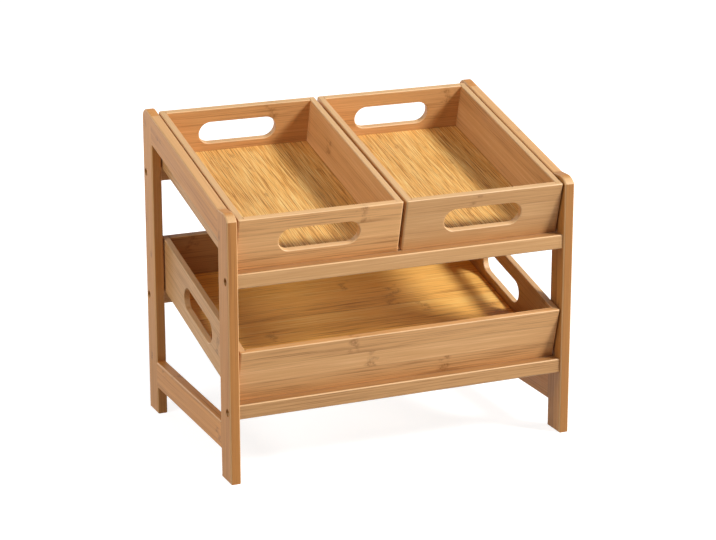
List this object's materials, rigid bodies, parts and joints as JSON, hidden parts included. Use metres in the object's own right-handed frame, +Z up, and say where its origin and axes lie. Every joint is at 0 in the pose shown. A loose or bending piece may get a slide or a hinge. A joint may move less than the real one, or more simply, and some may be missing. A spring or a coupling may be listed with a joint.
{
  "type": "condiment caddy with drawer",
  "caption": "Tiered bamboo condiment caddy: lift-out trays with hand slots above a wide drawer tray, all sloping to the front between ladder-like side frames.",
  "frame": {"origin": "on the floor, under the middle of the stand's footprint", "axes": "+X along the width, towards the right side frame as seen from the front; +Y towards the rear; +Z up"},
  "size_m": [0.381, 0.252, 0.3338],
  "materials": {
    "frame_bamboo": "satin lacquer",
    "wall_bamboo": "satin lacquer",
    "floor_bamboo": "satin lacquer",
    "screw_steel": "plain zinc plated"
  },
  "bodies": {
    "frame": {"left_front_leg": "frame_bamboo", "left_rear_leg": "frame_bamboo", "left_top_rail": "frame_bamboo", "left_lower_rail": "frame_bamboo", "right_front_leg": "frame_bamboo", "right_rear_leg": "frame_bamboo", "right_top_rail": "frame_bamboo", "right_lower_rail": "frame_bamboo", "upper_front_bar": "frame_bamboo", "upper_rear_bar": "frame_bamboo", "lower_front_bar": "frame_bamboo", "lower_rear_bar": "frame_bamboo", "left_frame_screws": "screw_steel", "right_frame_screws": "screw_steel"},
    "left_tray": {"left_tray_front_wall": "wall_bamboo", "left_tray_rear_wall": "wall_bamboo", "left_tray_left_wall": "wall_bamboo", "left_tray_right_wall": "wall_bamboo", "left_tray_floor": "floor_bamboo"},
    "right_tray": {"right_tray_front_wall": "wall_bamboo", "right_tray_rear_wall": "wall_bamboo", "right_tray_left_wall": "wall_bamboo", "right_tray_right_wall": "wall_bamboo", "right_tray_floor": "floor_bamboo"},
    "drawer": {"drawer_front_wall": "wall_bamboo", "drawer_rear_wall": "wall_bamboo", "drawer_left_wall": "wall_bamboo", "drawer_right_wall": "wall_bamboo", "drawer_floor": "floor_bamboo"}
  },
  "joints": [
    {"name": "left_tray_lift", "type": "slide", "parent": "frame", "child": "left_tray", "axis": [0, 0, 1], "range_m": [0, 0.08]},
    {"name": "right_tray_lift", "type": "slide", "parent": "frame", "child": "right_tray", "axis": [0, 0, 1], "range_m": [0, 0.08]},
    {"name": "drawer_slide", "type": "slide", "parent": "frame", "child": "drawer", "axis": [0, -1, 0], "range_m": [0, 0.25]}
  ]
}
